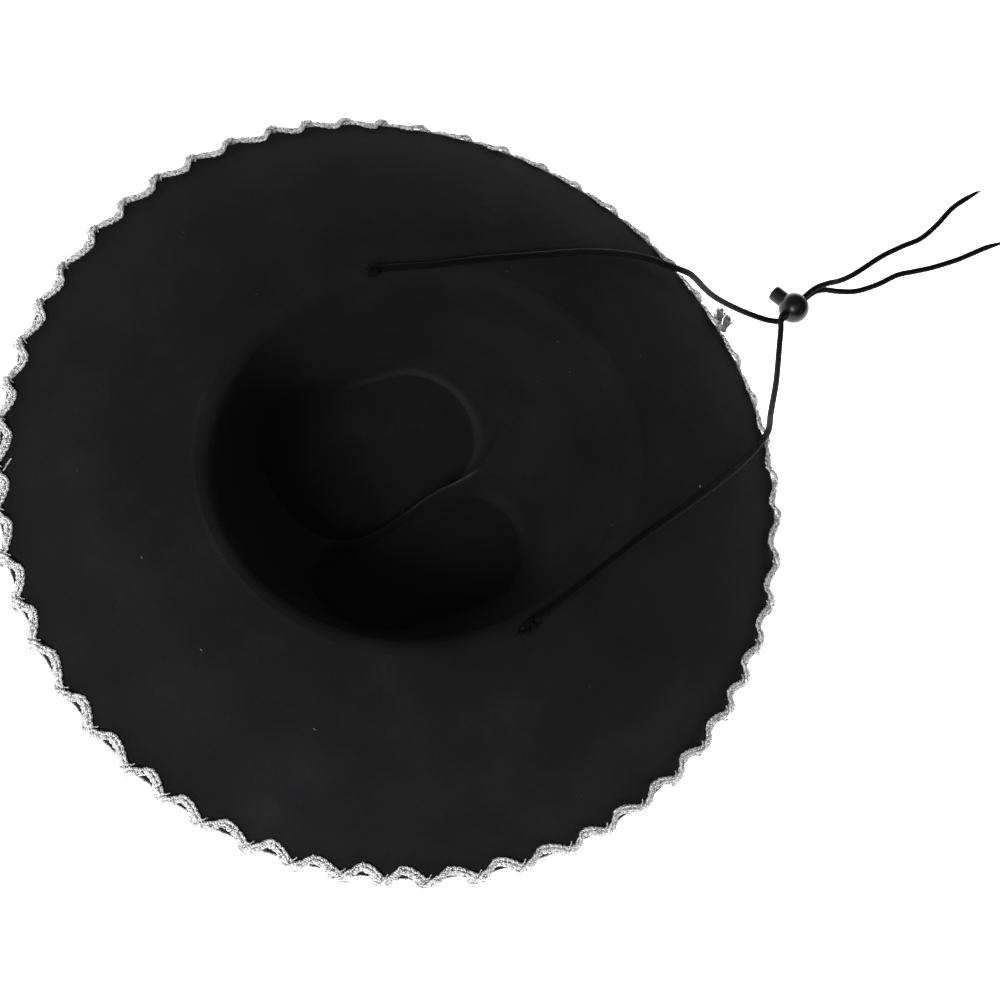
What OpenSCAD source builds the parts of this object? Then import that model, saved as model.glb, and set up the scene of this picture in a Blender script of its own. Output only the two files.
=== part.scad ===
// Black felt sombrero resting upside down on its crown, with its silver rim braid, chin cord and cord lock.
// +Z points out of the crown's mouth, and the hat's front faces -Y. Millimetres.

/* [Felt] */
// Diameter of the brim, felt edge to felt edge
brim_d = 392; // [380:1:410]
// Height of the crown, from the brim at the mouth to the top of the crown
crown_h = 112; // [100:1:125]
// Half-length of the crown's mouth, front to back
mouth_half_length = 105.5; // [100:0.5:110]
// Half-width of the crown's mouth, side to side
mouth_half_width = 92; // [86:0.5:95]
// How far the rim curls back from the mouth's plane
rim_curl = 36; // [25:1:45]
// Thickness of the pressed felt
felt_t = 2.4; // [1.8:0.1:3]

/* [Crown] */
// Half-length of the crown's top, front to back
top_half_length = 67; // [63:1:70]
// Half-width of the crown's top, side to side
top_half_width = 73.5; // [71:0.5:75]
// Depth of the centre crease between the two humps
crease_depth = 25; // [15:1:30]

/* [Silver braid] */
// Width of one metallic strand of the braid
strand_w = 5; // [3:0.5:6]
// Thickness of one metallic strand
strand_t = 1.1; // [0.8:0.1:1.5]
// Full waves of each strand around the rim
rim_waves = 28; // [20:1:32]
// How far each strand reaches onto the brim from its edge
braid_reach = 6.8; // [5.5:0.1:8]
// Radius of the braid ring sewn on the brim's top side
brim_ring_r = 143; // [125:1:170]

/* [Chin cord and lock] */
// Diameter of the braided chin cord
cord_d = 3.6; // [3:0.1:4]
// Diameter of the cord lock's ball
ball_d = 18.4; // [17:0.2:20]
// Press travel of the lock's plunger
press = 2.4; // [1.8:0.1:2.6]

/* [Hidden] */

sides = 72;                  // facets around the felt
curl_start_r = 98;           // radius where the brim starts to curl
curl_power = 1.8;
brim_r = brim_d / 2;
mouth_round = 6;             // the brim starts this far outside the mouth's edge
curl_span = brim_r - curl_start_r;

// ---- shared shape functions ----

// Height of the brim's mouth side at radius r
function brim_z(r) = crown_h - rim_curl * pow(max(0, (r - curl_start_r) / curl_span), curl_power);

// Slope of the brim at radius r, as an angle below the horizontal
function brim_slope(r) =
  atan(rim_curl * curl_power / curl_span * pow(max(0, (r - curl_start_r) / curl_span), curl_power - 1));

// Superellipse point at angle a, half-width hw on X, half-length hl on Y
function oval(a, hw, hl, n) =
  let (r = pow(pow(abs(cos(a)) / hw, n) + pow(abs(sin(a)) / hl, n), -1 / n)) [r * cos(a), r * sin(a)];

function smooth(t) = let (u = min(1, max(0, t))) u * u * (3 - 2 * u);

// Ring of points at one level
function level(hw, hl, n, z) =
  [for (i = [0:sides - 1]) let (p = oval(i * 360 / sides, hw, hl, n)) [p[0], p[1], z]];

// ---- felt: crown and brim pressed from one piece ----

hump_step = 6;                     // width of each hump's steep side
humps = [[1, 35], [-1, 29.5]];     // side and radius of each hump's round ends
floor_half_width = top_half_width - hump_step;
floor_half_length = top_half_length - hump_step;
ridge_z = felt_t + crease_depth;
crown_lean = [7.5, -9];            // the soft crown's top leans this far off the mouth's centre
crease_bend = 15;                  // sideways bend of the crease towards the back
crease_rise = 6;                   // how much higher the crease is at its ends

// X of a point of the bent crease, moved to where it would be on a straight one
function unbent(x, y) = x + crease_bend * smooth((y + 30) / 60) * exp(-pow(x / 34, 2));

// Distance outside the nearer hump's flat part
function off_hump(x, y) = min([for (h = humps)
  norm([unbent(x, y) - h[0] * (floor_half_width - h[1]), max(0, abs(y) - floor_half_length + h[1])]) - h[1]]);

// Height of the crown's top, with every hump widened by grow
function top_z(x, y, grow) =
  let (
    t = min(1, max(0, (off_hump(x, y) - grow) / hump_step)),
    saddle = pow(max(0, min(1, (abs(y) - 20) / 46)), 2.5) * exp(-pow(x / 17, 2))
  )
  felt_t + crease_depth * (1 - pow(1 - t, 2)) + crease_rise * saddle * smooth(2 * t);

function moved(ring, by) = [for (p = ring) [p[0] + by[0], p[1] + by[1], p[2]]];

// Rings of the inner face from the crown's top out to the rim
top_ring_count = 12;
top_scales = [for (i = [1:top_ring_count]) i / (top_ring_count + 0.6)];
top_rings = [for (s = top_scales)
  [for (p = level(top_half_width * s, top_half_length * s, 3, 0)) [p[0], p[1], top_z(p[0], p[1], 0)]]];
wall_rings = [
  [for (p = level(top_half_width, top_half_length, 3, 0)) [p[0], p[1], top_z(p[0], p[1], 0)]],
  level(top_half_width + 2.5, top_half_length + 6, 2.7, ridge_z + 14),
  level(mouth_half_width - 11, mouth_half_length - 19, 2.4, crown_h - 42),
  level(mouth_half_width - 4.5, mouth_half_length - 6, 2.1, crown_h - 12),
  level(mouth_half_width - 1.5, mouth_half_length - 1.5, 2, crown_h - 4.5),
  level(mouth_half_width + 2, mouth_half_length + 2, 2, crown_h - 1.2)
];
wall_lean = [1, 0.9, 0.5, 0.12, 0.03, 0];  // share of the lean at each ring of the wall
brim_blend = [0, 0.15, 0.32, 0.5, 0.66, 0.8, 0.91, 1];
brim_rings = [for (t = brim_blend)
  [for (i = [0:sides - 1])
    let (
      a = i * 360 / sides,
      inner = oval(a, mouth_half_width + mouth_round, mouth_half_length + mouth_round, 2),
      p = (1 - t) * inner + t * brim_r * [cos(a), sin(a)]
    ) [p[0], p[1], brim_z(norm(p))]]];
mouth_side = concat(
  [for (ring = top_rings) moved(ring, crown_lean)],
  [for (i = [0:len(wall_rings) - 1]) moved(wall_rings[i], wall_lean[i] * crown_lean)],
  brim_rings
);

// Offsets [outward, downward] that give the outer face the felt's thickness, ring by ring
wall_offsets = [[1.6, 2.4], [2.2, 1], [2.3, 0.6], [2.1, 0.8], [1.6, 1.6], [0.9, 2.2]];
hump_side = 0.9;             // how much wider the humps are outside than inside
outer_top = [for (ring = top_rings)
  moved([for (p = ring) [p[0], p[1], top_z(p[0], p[1], hump_side) - felt_t]], crown_lean)];
outer_wall = [for (i = [0:len(wall_rings) - 1])
  moved([for (p = wall_rings[i]) let (u = [p[0], p[1]] / norm([p[0], p[1]]), o = wall_offsets[i])
    [p[0] + o[0] * u[0], p[1] + o[0] * u[1], p[2] - o[1]]], wall_lean[i] * crown_lean)];
outer_brim = [for (ring = brim_rings)
  [for (p = ring) let (r = norm([p[0], p[1]]), s = brim_slope(r), k = 1 - felt_t * sin(s) / r)
    [p[0] * k, p[1] * k, p[2] - felt_t * cos(s)]]];
// Rounded felt edge between the two faces
rim_slope = brim_slope(brim_r);
edge_ring = [for (i = [0:sides - 1])
  let (a = i * 360 / sides, r = brim_r + 0.3, z = brim_z(brim_r) - felt_t / 2 * cos(rim_slope) - 0.4)
  [r * cos(a), r * sin(a), z]];
outer_side = concat(outer_top, outer_wall, outer_brim);
reversed_outer = [for (i = [len(outer_side) - 1:-1:0]) outer_side[i]];
felt_rings = concat(mouth_side, [edge_ring], reversed_outer);

// Two triangles between ring a and the next ring b; the other way picks the other diagonal
function quad(a, b, i, j, other_way) =
  other_way ? [[a + i, a + j, b + j], [a + i, b + j, b + i]] : [[a + i, a + j, b + i], [a + j, b + j, b + i]];

// Closed skin over rings of equal length, with a centre point at each end; rings from other_way_from on
// take the other diagonal, so that the two faces of a sheet match
function skin_faces(rings, n, other_way_from) = concat(
  [for (i = [0:n - 1]) [0, 1 + (i + 1) % n, 1 + i]],
  [for (k = [0:rings - 2], i = [0:n - 1])
    each quad(1 + k * n, 1 + (k + 1) * n, i, (i + 1) % n, k >= other_way_from)],
  [for (i = [0:n - 1]) let (a = 1 + (rings - 1) * n) [a + i, a + (i + 1) % n, 1 + rings * n]]
);

cord_hole_x = mouth_half_width + 4;
cord_hole_y = -9;
cord_hole_d = cord_d + 0.6;

module felt_body() {
  points = concat(
    moved([[0, 0, top_z(0, 0, 0)]], crown_lean),
    [for (ring = felt_rings, p = ring) p],
    moved([[0, 0, top_z(0, 0, hump_side) - felt_t]], crown_lean)
  );
  color([0.05, 0.05, 0.055])
  difference() {
    polyhedron(points, skin_faces(len(felt_rings), sides, len(mouth_side)));
    for (side = [-1, 1])
      translate([side * cord_hole_x, cord_hole_y, crown_h - 12])
        cylinder(h = 24, d = cord_hole_d, $fn = 24);
  }
}

// ---- silver braid folded over the rim: two strands that cross at the felt's edge ----

edge_r = felt_t / 2;
edge_mid = [brim_r - edge_r * sin(rim_slope), brim_z(brim_r) - edge_r * cos(rim_slope)];
out_dir = [cos(rim_slope), -sin(rim_slope)];
up_dir = [sin(rim_slope), cos(rim_slope)];
samples = 12;                // rings per wave
strand_gap = 0.5;            // between a strand and what lies under it
slack = 1.3;                 // how loosely the braid folds round the edge

// Point at rim angle a, distance s along the fold from the felt's edge, height h off the felt
function fold_point(a, s, h) =
  let (
    rho = edge_r + h,
    quarter = rho * PI / 2,
    on_edge = abs(s) < quarter,
    t = (on_edge ? s / rho : sign(s) * PI / 2) * 180 / PI,
    back = on_edge ? 0 : abs(s) - quarter,
    p = edge_mid + rho * (cos(t) * out_dir + sin(t) * up_dir) - back * out_dir
  ) [p[0] * cos(a), p[0] * sin(a), p[1]];

function wave_s(phase) = (braid_reach - strand_w / 2 + edge_r * PI / 2) * sin(phase);

// Lift of a strand where it crosses over the other one, at every second crossing
function over_lift(phase, over) =
  let (d = abs((phase - over + 540) % 360 - 180)) (strand_t + strand_gap) * (1 - smooth((d - 40) / 40));

function strand_ring(i, start, over) =
  let (
    phase = i * 360 / samples + start,
    a = i * 360 / samples / rim_waves,
    s = wave_s(phase),
    run = 2 * PI * brim_r / rim_waves,
    rise = 2 * PI * (braid_reach - strand_w / 2 + edge_r * PI / 2) * cos(phase),
    len2 = norm([run, rise]),
    da = -rise / len2 * strand_w / 2 * 180 / PI / brim_r,
    ds = run / len2 * strand_w / 2,
    h = strand_gap + slack * pow(cos(phase), 2) + over_lift(phase, over)
  ) [
    fold_point(a + da, s + ds, h), fold_point(a - da, s - ds, h),
    fold_point(a - da, s - ds, h + strand_t), fold_point(a + da, s + ds, h + strand_t)
  ];

// Ring-shaped band through closed sections of four corners each
module closed_band(rings) {
  n = len(rings);
  polyhedron([for (r = rings, p = r) p],
    [for (k = [0:n - 1], i = [0:3], half = [0:1])
      let (a = 4 * k, b = 4 * ((k + 1) % n), j = (i + 1) % 4)
      half == 0 ? [a + i, a + j, b + i] : [a + j, b + j, b + i]]);
}

module rim_strand(start, over) {
  color([0.8, 0.8, 0.82])
  closed_band([for (i = [0:samples * rim_waves - 1]) strand_ring(i, start, over)]);
}
module rim_braid_strand_a() { rim_strand(0, 0); }
module rim_braid_strand_b() { rim_strand(180, 0); }

// ---- silver braid on the hat's top side, which faces down here ----

flat_braid_w = 13;
flat_braid_t = 1.6;
trim_gap = 0.2;

module brim_ring_braid() {
  s = brim_slope(brim_ring_r);
  color([0.8, 0.8, 0.82])
  rotate_extrude($fn = 120)
    translate([brim_ring_r, brim_z(brim_ring_r)])
      rotate(-s)
        translate([-flat_braid_w / 2, -felt_t - trim_gap - 0.4 - flat_braid_t])
          square([flat_braid_w, flat_braid_t]);
}

band_low = [mouth_half_width - 5.8, mouth_half_length - 10, crown_h - 29];
band_high = [mouth_half_width - 2.4, mouth_half_length - 4, crown_h - 16];
module crown_band_braid() {
  inner = 1.5;
  color([0.8, 0.8, 0.82])
  closed_band([for (i = [0:sides - 1])
    let (
      a = i * 360 / sides,
      low = oval(a, band_low[0], band_low[1], 2.2) + 0.33 * crown_lean,
      high = oval(a, band_high[0], band_high[1], 2.15) + 0.17 * crown_lean,
      u = [cos(a), sin(a)]
    ) [
      concat(low + inner * u, band_low[2]),
      concat(low + (inner + flat_braid_t) * u, band_low[2]),
      concat(high + (inner + flat_braid_t) * u, band_high[2]),
      concat(high + inner * u, band_high[2])
    ]]);
}

// Tiny silver stitches that show through on the mouth side
tack_angles = [92, 112, 137, 246];
module tack_stitches() {
  color([0.75, 0.75, 0.76])
  for (a = tack_angles)
    rotate(a)
      translate([brim_ring_r, 0, brim_z(brim_ring_r) + 0.25])
        rotate([0, brim_slope(brim_ring_r), 0])
          cylinder(h = 0.3, d = 1.1, $fn = 16);
}

// ---- chin cord ----

cord_r = cord_d / 2;
knot_r = 3.3;
anchor_side_h = crown_h;

// Stopper knots above and below the felt with the cord's end between them
module cord_anchor(side) {
  color([0.06, 0.06, 0.06])
  translate([side * cord_hole_x, cord_hole_y, anchor_side_h]) {
    translate([0, 0, knot_r - 0.2]) sphere(r = knot_r, $fn = 32);
    translate([0, 0, -felt_t - knot_r - 0.9]) sphere(r = knot_r, $fn = 32);
    translate([0, 0, -felt_t - knot_r]) cylinder(h = felt_t + 2 * knot_r, d = cord_d, $fn = 24);
  }
}
module cord_anchor_left() { cord_anchor(1); }
module cord_anchor_right() { cord_anchor(-1); }

// The ball lies on the resting surface; its cord slot points along lock_out
ball_r = ball_d / 2;
lock_at = [42.5, -289.5, 9.6];
lock_turn = [-106, 2, -70];  // local X along the cords, local Z out of the plunger's end
lock_out = [cos(-70) * cos(2), sin(-70) * cos(2), -sin(2)];
cord_pitch = cord_d + 0.4;   // the two cords lie side by side in the slot
// Local Y of the lock, the direction in which the cords are stacked
function turned_y(t) = [
  sin(t[0]) * sin(t[1]) * cos(t[2]) - cos(t[0]) * sin(t[2]),
  sin(t[0]) * sin(t[1]) * sin(t[2]) + cos(t[0]) * cos(t[2]),
  sin(t[0]) * cos(t[1])
];
stack = turned_y(lock_turn);
straight_in = 9;             // straight run of cord before the lock's centre
straight_out = 19;           // and after it, so that the lock can slide

function in_lock(side, along) = lock_at + side * cord_pitch / 2 * stack + along * lock_out;

left_route = concat(
  [
    [95, -11.5, 114], [93, -22, 114], [90, -36, 114], [88, -49, 114.1], [86, -62, 114], [84, -75, 113.2],
    [82, -88, 111.8], [80.5, -101, 109.7], [79.5, -113, 107.1], [78.5, -124, 104.1], [77, -136, 100.4],
    [75, -148, 96], [72.5, -159, 92], [69, -169, 88.6], [65, -177, 86], [61.5, -185, 82.8],
    [59.5, -192.5, 77.5], [58, -200, 69], [56.5, -210, 56], [54.5, -222, 42], [52, -235, 29.5],
    [48.5, -248, 19.5], [44.5, -259, 13.2], [40, -269, 9.8]
  ],
  [for (s = [-straight_in - 4, -straight_in, 0, straight_out]) in_lock(1, s)],
  [
    [48.5, -317, 6.5], [46, -328, 3.2], [43, -341, 1.9], [43, -358, 1.9], [45, -374, 1.9],
    [44, -388, 1.9], [43, -401, 1.9], [43, -421, 1.9], [44, -434, 1.9], [45, -446, 1.9], [45, -458, 1.9]
  ]
);
right_route = concat(
  [
    [-95.5, -12, 114], [-92, -25, 114], [-87.5, -41, 114.2], [-82.5, -57, 114.2], [-78, -72, 113.9],
    [-74, -86, 112.9], [-70.5, -100, 111.3], [-67, -114, 108.8], [-63.5, -127, 105.8], [-60, -140, 102],
    [-56.5, -152, 98], [-53, -162, 94.2], [-49.5, -171, 90.8], [-46, -179, 88], [-42, -187, 84.8],
    [-38, -194.5, 79.8], [-33, -202, 72], [-26, -212, 60.5], [-15.5, -226, 47], [-4, -239.5, 36],
    [8, -251.5, 27], [20, -262, 20.5], [30, -270.5, 15.8]
  ],
  [for (s = [-straight_in - 4, -straight_in, 0, straight_out]) in_lock(-1, s)],
  [
    [50.5, -318, 11], [51.5, -331, 5.5], [54, -346, 1.9], [59.5, -369, 1.9], [62, -387, 1.9],
    [63.5, -403, 1.9], [69, -419, 1.9], [77.5, -438, 1.9], [82.5, -460, 1.9]
  ]
);

function cut(v, i) = v[min(len(v) - 1, max(0, i))];
function unit(v) = v / norm(v);

module swept_cord(path) {
  n = len(path);
  facets = 8;
  frames = [for (i = [0:n - 1])
    let (t = unit(cut(path, i + 1) - cut(path, i - 1)), x = unit(cross(t, [0, 0, 1])), y = cross(x, t))
    [for (k = [0:facets - 1]) path[i] + cord_r * (cos(k * 45) * x + sin(k * 45) * y)]];
  color([0.06, 0.06, 0.06])
  polyhedron(
    concat([path[0]], [for (f = frames, p = f) p], [path[n - 1]]),
    skin_faces(n, facets, n)
  );
}
module chin_cord_left() { swept_cord(left_route); }
module chin_cord_right() { swept_cord(right_route); }

// ---- cord lock: ball, sprung plunger, coil spring ----

slot_half = cord_pitch / 2 + cord_r + 0.3;
slot_r = cord_r + 0.3;
plunger_r = 4.8;
bore_r = plunger_r + 0.2;
web_t = 1.6;
web_low = -slot_r - web_t;
bore_floor = web_low - press - 0.1;
pocket_r = 2.9;
pocket_floor = -8;
plunger_top = 16;

// Slot for the two cords, along local X
module cord_slot(length) {
  rotate([0, 90, 0])
    translate([0, 0, -length / 2])
      linear_extrude(length) {
        for (side = [-1, 1]) translate([0, side * (slot_half - slot_r)]) circle(r = slot_r, $fn = 32);
        square([2 * slot_r, 2 * (slot_half - slot_r)], center = true);
      }
}

module at_lock() { translate(lock_at) rotate(lock_turn) children(); }

module lock_body() {
  color([0.03, 0.03, 0.035])
  at_lock()
  difference() {
    sphere(r = ball_r, $fn = 64);
    translate([0, 0, bore_floor]) cylinder(h = 2 * ball_r, r = bore_r, $fn = 48);
    translate([0, 0, pocket_floor]) cylinder(h = ball_r, r = pocket_r, $fn = 32);
    cord_slot(2.2 * ball_r);
  }
}

module lock_plunger() {
  cap_round = 0.8;
  color([0.04, 0.04, 0.045])
  at_lock()
  difference() {
    union() {
      translate([0, 0, web_low]) cylinder(h = plunger_top - cap_round - web_low, r = plunger_r, $fn = 48);
      translate([0, 0, plunger_top - cap_round]) cylinder(h = cap_round, r = plunger_r - 0.5, $fn = 48);
    }
    translate([0, 0, press / 2])
      rotate([0, 90, 0])
        cube([2 * slot_r + press, 2 * slot_half, 3 * plunger_r], center = true);
  }
}

spring_turns = 4;
spring_wire_r = 0.22;
spring_r = 2.3;
turn_rings = 14;             // rings per turn of the spring's wire
wire_facets = 6;

// One wire wound into a coil
module lock_spring() {
  free = web_low - pocket_floor - 2 * spring_wire_r - 0.1;
  n = spring_turns * turn_rings + 1;
  wire = [for (i = [0:n - 1])
    let (a = i * 360 / turn_rings)
    [spring_r * cos(a), spring_r * sin(a), free * i / (n - 1)]];
  rings = [for (i = [0:n - 1])
    let (a = i * 360 / turn_rings, u = [cos(a), sin(a), 0])
    [for (k = [0:wire_facets - 1])
      let (b = k * 360 / wire_facets)
      wire[i] + spring_wire_r * (cos(b) * u + sin(b) * [0, 0, 1])]];
  color([0.7, 0.7, 0.7])
  at_lock()
  translate([0, 0, pocket_floor + spring_wire_r + 0.05])
  polyhedron(
    concat([wire[0]], [for (r = rings, p = r) p], [wire[n - 1]]),
    skin_faces(n, wire_facets, n)
  );
}

felt_body();
rim_braid_strand_a();
rim_braid_strand_b();
brim_ring_braid();
crown_band_braid();
tack_stitches();
cord_anchor_left();
cord_anchor_right();
chin_cord_left();
chin_cord_right();
lock_body();
lock_plunger();
lock_spring();
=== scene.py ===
import math

import bpy
import numpy as np
from mathutils import Matrix, Vector


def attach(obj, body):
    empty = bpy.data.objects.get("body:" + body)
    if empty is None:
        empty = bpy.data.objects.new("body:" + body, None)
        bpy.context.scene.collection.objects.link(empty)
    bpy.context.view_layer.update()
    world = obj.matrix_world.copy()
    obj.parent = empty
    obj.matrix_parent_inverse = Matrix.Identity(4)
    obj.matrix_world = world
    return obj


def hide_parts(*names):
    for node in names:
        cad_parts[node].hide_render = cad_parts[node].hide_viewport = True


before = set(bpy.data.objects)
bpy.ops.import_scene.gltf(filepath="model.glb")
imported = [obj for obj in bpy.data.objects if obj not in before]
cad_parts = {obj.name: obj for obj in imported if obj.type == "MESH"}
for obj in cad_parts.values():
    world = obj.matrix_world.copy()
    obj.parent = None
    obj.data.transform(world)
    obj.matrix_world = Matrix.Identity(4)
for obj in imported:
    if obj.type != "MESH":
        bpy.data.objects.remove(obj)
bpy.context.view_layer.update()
RNG = np.random.default_rng(12)
MM = 0.001
TURN = 2 * math.pi


# ---------------------------------------------------------------- mesh helpers, all in millimetres

def unit(v):
    v = np.asarray(v, dtype=float)
    return v / np.maximum(np.linalg.norm(v, axis=-1, keepdims=True), 1e-12)


def smoothstep(t):
    t = np.clip(t, 0, 1)
    return t * t * (3 - 2 * t)


def smooth_path(points, steps):
    """Catmull-Rom curve through the points, which may have any number of columns."""
    p = np.asarray(points, dtype=float)
    last = len(p) - 1
    out = []
    for i in range(last):
        p0, p1, p2, p3 = p[max(i - 1, 0)], p[i], p[i + 1], p[min(i + 2, last)]
        for k in range(steps):
            t = k / steps
            out.append(0.5 * (2 * p1 + t * (p2 - p0) + t * t * (2 * p0 - 5 * p1 + 4 * p2 - p3)
                              + t ** 3 * (3 * p1 - p0 - 3 * p2 + p3)))
    out.append(p[-1])
    return np.array(out)


def lengths(path):
    """Distance along the path at each of its points."""
    return np.concatenate([[0], np.cumsum(np.linalg.norm(np.diff(path, axis=0), axis=1))])


def even_path(path, step):
    """The same path with its points an even distance apart."""
    d = lengths(path)
    s = np.linspace(0, d[-1], max(2, int(round(d[-1] / step)) + 1))
    return np.stack([np.interp(s, d, path[:, k]) for k in range(3)], axis=1)


def carried_frames(path):
    """Side and up at each point of an open path, carried along without twisting."""
    t = unit(np.gradient(path, axis=0))
    first = np.cross(t[0], [0, 0, 1.0])
    if np.linalg.norm(first) < 1e-3:
        first = np.cross(t[0], [1.0, 0, 0])
    side = np.zeros_like(path)
    side[0] = unit(first)
    for i in range(1, len(path)):
        side[i] = unit(side[i - 1] - t[i] * np.dot(side[i - 1], t[i]))
    return side, np.cross(t, side)


def frames_on(path, normal):
    """Side and up at each point of a closed path that lies on a surface with the given normals."""
    t = unit(np.roll(path, -1, axis=0) - np.roll(path, 1, axis=0))
    side = unit(np.cross(t, normal))
    return side, np.cross(side, t)


def grid_faces(rows, cols, wrap_rows=False):
    """Quads over a grid whose columns wrap round, and the (row, column) of each corner."""
    i, j = np.meshgrid(np.arange(rows if wrap_rows else rows - 1), np.arange(cols), indexing="ij")
    i, j = i.ravel(), j.ravel()
    i2, j2 = i + 1, j + 1
    corners = np.stack([np.stack(pair, 1) for pair in ((i, j), (i, j2), (i2, j2), (i2, j))], axis=1)
    quads = (corners[..., 0] % rows) * cols + corners[..., 1] % cols
    return quads, corners


class Piece:
    """Collects faces, then becomes one object that rides on a body."""

    def __init__(self):
        self.verts, self.faces, self.uvs, self.count = [], [], [], 0

    def add(self, verts, faces, uvs):
        self.verts.append(verts)
        for f, uv in zip(faces, uvs):
            self.faces.append(np.asarray(f) + self.count)
            self.uvs.append(np.asarray(uv, dtype=np.float32).reshape(-1, 2))
        self.count += len(verts)

    def skin(self, rings, closed=False, centres=None, v=None):
        """Skin over rings of equal length; centres closes both ends with a fan."""
        n, sides = rings.shape[:2]
        quads, corners = grid_faces(n, sides, wrap_rows=closed)
        v = np.arange(n + 1) / n if v is None else v
        faces = [quads]
        uvs = [np.stack([corners[..., 1] / sides, v[corners[..., 0]]], axis=-1)]
        verts = rings.reshape(-1, 3)
        if centres is not None:
            j = np.arange(sides)
            last = (n - 1) * sides
            faces.append(np.stack([np.full(sides, n * sides), (j + 1) % sides, j], 1))
            faces.append(np.stack([np.full(sides, n * sides + 1), last + j, last + (j + 1) % sides], 1))
            uvs += [np.tile([0.5, v[0]], (3 * sides, 1)), np.tile([0.5, v[n - 1]], (3 * sides, 1))]
            verts = np.vstack([verts, centres])
        self.add(verts, faces, uvs)

    def tube(self, path, radius, sides, closed=False, frames=None):
        """Tube along a path; radius is a number, one per ring, or one per ring and side."""
        side, up = frames if frames is not None else carried_frames(path)
        rad = np.asarray(radius, dtype=float)
        rad = np.broadcast_to(rad[:, None] if rad.ndim == 1 else rad, (len(path), sides))
        a = np.arange(sides) * TURN / sides
        rings = path[:, None, :] + (np.cos(a)[None, :, None] * side[:, None, :]
                                    + np.sin(a)[None, :, None] * up[:, None, :]) * rad[..., None]
        d = lengths(path)
        d = np.append(d, d[-1] + np.linalg.norm(path[0] - path[-1]))
        ends = None
        if not closed:
            t = unit(np.gradient(path, axis=0))
            ends = [path[0] - t[0] * rad[0].mean() * 0.5, path[-1] + t[-1] * rad[-1].mean() * 0.5]
        self.skin(rings, closed=closed, centres=ends, v=d * 0.1)

    def make(self, name, material, slot, body="hat", replaces=()):
        mesh = bpy.data.meshes.new(name)
        verts = np.vstack(self.verts) * MM
        mesh.vertices.add(len(verts))
        mesh.vertices.foreach_set("co", verts.ravel())
        loops = np.concatenate([f.ravel() for f in self.faces]).astype(np.int32)
        sizes = np.concatenate([np.full(len(f), f.shape[1]) for f in self.faces])
        mesh.loops.add(len(loops))
        mesh.loops.foreach_set("vertex_index", loops)
        mesh.polygons.add(len(sizes))
        mesh.polygons.foreach_set("loop_start", (np.cumsum(sizes) - sizes).astype(np.int32))
        mesh.polygons.foreach_set("use_smooth", np.ones(len(sizes), dtype=bool))
        mesh.update(calc_edges=True)
        mesh.uv_layers.new(name="UVMap").data.foreach_set("uv", np.vstack(self.uvs).ravel())
        mesh.validate()
        mesh.materials.append(material)
        ob = bpy.data.objects.new(name, mesh)
        bpy.context.scene.collection.objects.link(ob)
        if replaces:
            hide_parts(*replaces)
        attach(ob, body)
        return ob


# ---------------------------------------------------------------- materials

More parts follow.
